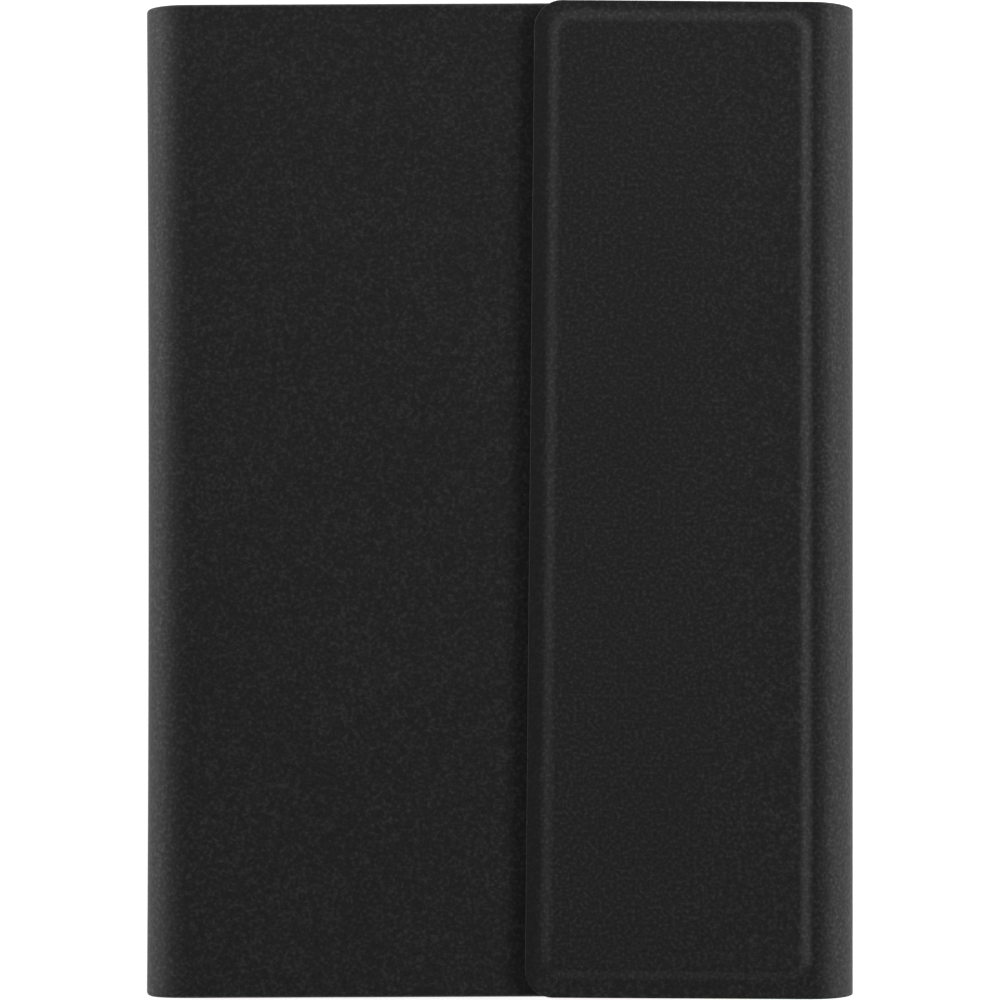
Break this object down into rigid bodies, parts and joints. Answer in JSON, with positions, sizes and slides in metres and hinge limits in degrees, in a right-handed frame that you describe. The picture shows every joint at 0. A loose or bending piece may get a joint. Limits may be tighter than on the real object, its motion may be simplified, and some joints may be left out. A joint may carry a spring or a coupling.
{
  "type": "tablet keyboard case",
  "caption": "Closed leatherette folio for a small tablet, with a round spine, a padded closing flap, a tilting tablet tray on a prop and a slim built-in keyboard.",
  "frame": {"origin": "middle of the closed case's box, on the surface that it lies on", "axes": "+X across the front from the spine to the fold, +Y along the spine, +Z out of the front"},
  "size_m": [0.152, 0.21, 0.0202],
  "materials": {
    "leatherette": "fine pebbled matte leatherette",
    "lining": "brushed microfibre",
    "board": "stiff board",
    "housing": "fine moulded grain",
    "tray": "satin moulded",
    "keys": "satin key caps",
    "controls": "satin",
    "steel": "plain",
    "prop": "dark anodised",
    "magnet": "plated",
    "rubber": "soft matte",
    "circuit": "solder resist",
    "membrane": "printed film",
    "cell": "pouch foil",
    "light": "clear light pipe"
  },
  "bodies": {
    "base": {"base_skin": "leatherette", "base_board": "board", "base_liner": "lining", "keyboard_bottom_case": "housing", "keyboard_deck": "housing", "housing_screws": "steel", "deck_bumpers": "rubber", "key_backplate": "steel", "membrane_circuit": "membrane", "dome_sheet": "rubber", "controller_board": "circuit", "battery_cell": "cell", "charge_port": "steel", "status_lights": "light"},
    "spine": {"spine_skin": "leatherette", "spine_liner": "lining"},
    "lid": {"lid_skin": "leatherette", "lid_board": "board", "lid_liner": "lining", "lid_magnets": "magnet", "camera_ring": "rubber", "tray_hinge_knuckles": "steel"},
    "tray": {"tablet_tray": "tray", "tray_hinge_pin": "steel", "prop_pin": "steel"},
    "prop": {"stand_prop": "prop", "prop_foot": "rubber"},
    "fold": {"fold_skin": "leatherette", "fold_liner": "lining"},
    "flap": {"flap_skin": "leatherette", "flap_board": "board", "flap_liner": "lining", "flap_magnets": "magnet"},
    "power_switch": {"power_switch": "controls"},
    "pairing_button": {"pairing_button": "controls"},
    "function_row_keys": {"function_row_keys": "keys"},
    "number_row_keys": {"number_row_keys": "keys"},
    "upper_letter_keys": {"upper_letter_keys": "keys"},
    "home_row_keys": {"home_row_keys": "keys"},
    "lower_letter_keys": {"lower_letter_keys": "keys"},
    "bottom_row_keys": {"bottom_row_keys": "keys"},
    "space_bar": {"space_bar": "keys"}
  },
  "joints": [
    {"name": "spine_fold", "type": "hinge", "parent": "base", "child": "spine", "pos_m": [-0.07407, 0, 0.00193], "axis": [0, -1, 0], "range_deg": [0, 90]},
    {"name": "lid_fold", "type": "hinge", "parent": "spine", "child": "lid", "pos_m": [-0.07407, 0, 0.01607], "axis": [0, -1, 0], "range_deg": [0, 90]},
    {"name": "tray_tilt", "type": "hinge", "parent": "lid", "child": "tray", "pos_m": [-0.06915, 0, 0.01505], "axis": [0, 1, 0], "range_deg": [0, 65]},
    {"name": "prop_swing", "type": "hinge", "parent": "tray", "child": "prop", "pos_m": [-0.01415, 0, 0.01505], "axis": [0, -1, 0], "range_deg": [0, 130]},
    {"name": "edge_fold", "type": "hinge", "parent": "base", "child": "fold", "pos_m": [0.07354, 0, 0.00246], "axis": [0, 1, 0], "range_deg": [0, 90]},
    {"name": "flap_fold", "type": "hinge", "parent": "fold", "child": "flap", "pos_m": [0.07354, 0, 0.01774], "axis": [0, 1, 0], "range_deg": [0, 90]},
    {"name": "function_row_keys_press", "type": "slide", "parent": "base", "child": "function_row_keys", "axis": [0, 0, -1], "range_m": [0, 0.001], "stiffness_N_per_m": 300, "springref_m": -0.0006, "deforming": ["dome_sheet"]},
    {"name": "number_row_keys_press", "type": "slide", "parent": "base", "child": "number_row_keys", "axis": [0, 0, -1], "range_m": [0, 0.001], "stiffness_N_per_m": 300, "springref_m": -0.0006, "deforming": ["dome_sheet"]},
    {"name": "upper_letter_keys_press", "type": "slide", "parent": "base", "child": "upper_letter_keys", "axis": [0, 0, -1], "range_m": [0, 0.001], "stiffness_N_per_m": 300, "springref_m": -0.0006, "deforming": ["dome_sheet"]},
    {"name": "home_row_keys_press", "type": "slide", "parent": "base", "child": "home_row_keys", "axis": [0, 0, -1], "range_m": [0, 0.001], "stiffness_N_per_m": 300, "springref_m": -0.0006, "deforming": ["dome_sheet"]},
    {"name": "lower_letter_keys_press", "type": "slide", "parent": "base", "child": "lower_letter_keys", "axis": [0, 0, -1], "range_m": [0, 0.001], "stiffness_N_per_m": 300, "springref_m": -0.0006, "deforming": ["dome_sheet"]},
    {"name": "bottom_row_keys_press", "type": "slide", "parent": "base", "child": "bottom_row_keys", "axis": [0, 0, -1], "range_m": [0, 0.001], "stiffness_N_per_m": 300, "springref_m": -0.0006, "deforming": ["dome_sheet"]},
    {"name": "space_bar_press", "type": "slide", "parent": "base", "child": "space_bar", "axis": [0, 0, -1], "range_m": [0, 0.001], "stiffness_N_per_m": 300, "springref_m": -0.0006, "deforming": ["dome_sheet"]},
    {"name": "power_switch_slide", "type": "slide", "parent": "base", "child": "power_switch", "axis": [1, 0, 0], "range_m": [0, 0.003]},
    {"name": "pairing_button_press", "type": "slide", "parent": "base", "child": "pairing_button", "axis": [0, 0, -1], "range_m": [0, 0.0005], "stiffness_N_per_m": 300, "springref_m": -0.0004}
  ],
  "couplings": [
    {"joint": "spine_fold", "follows": "lid_fold", "ratio": 1},
    {"joint": "tray_tilt", "follows": "lid_fold", "ratio": 0.72222},
    {"joint": "prop_swing", "follows": "lid_fold", "ratio": 1.4444},
    {"joint": "edge_fold", "follows": "flap_fold", "ratio": 1}
  ]
}
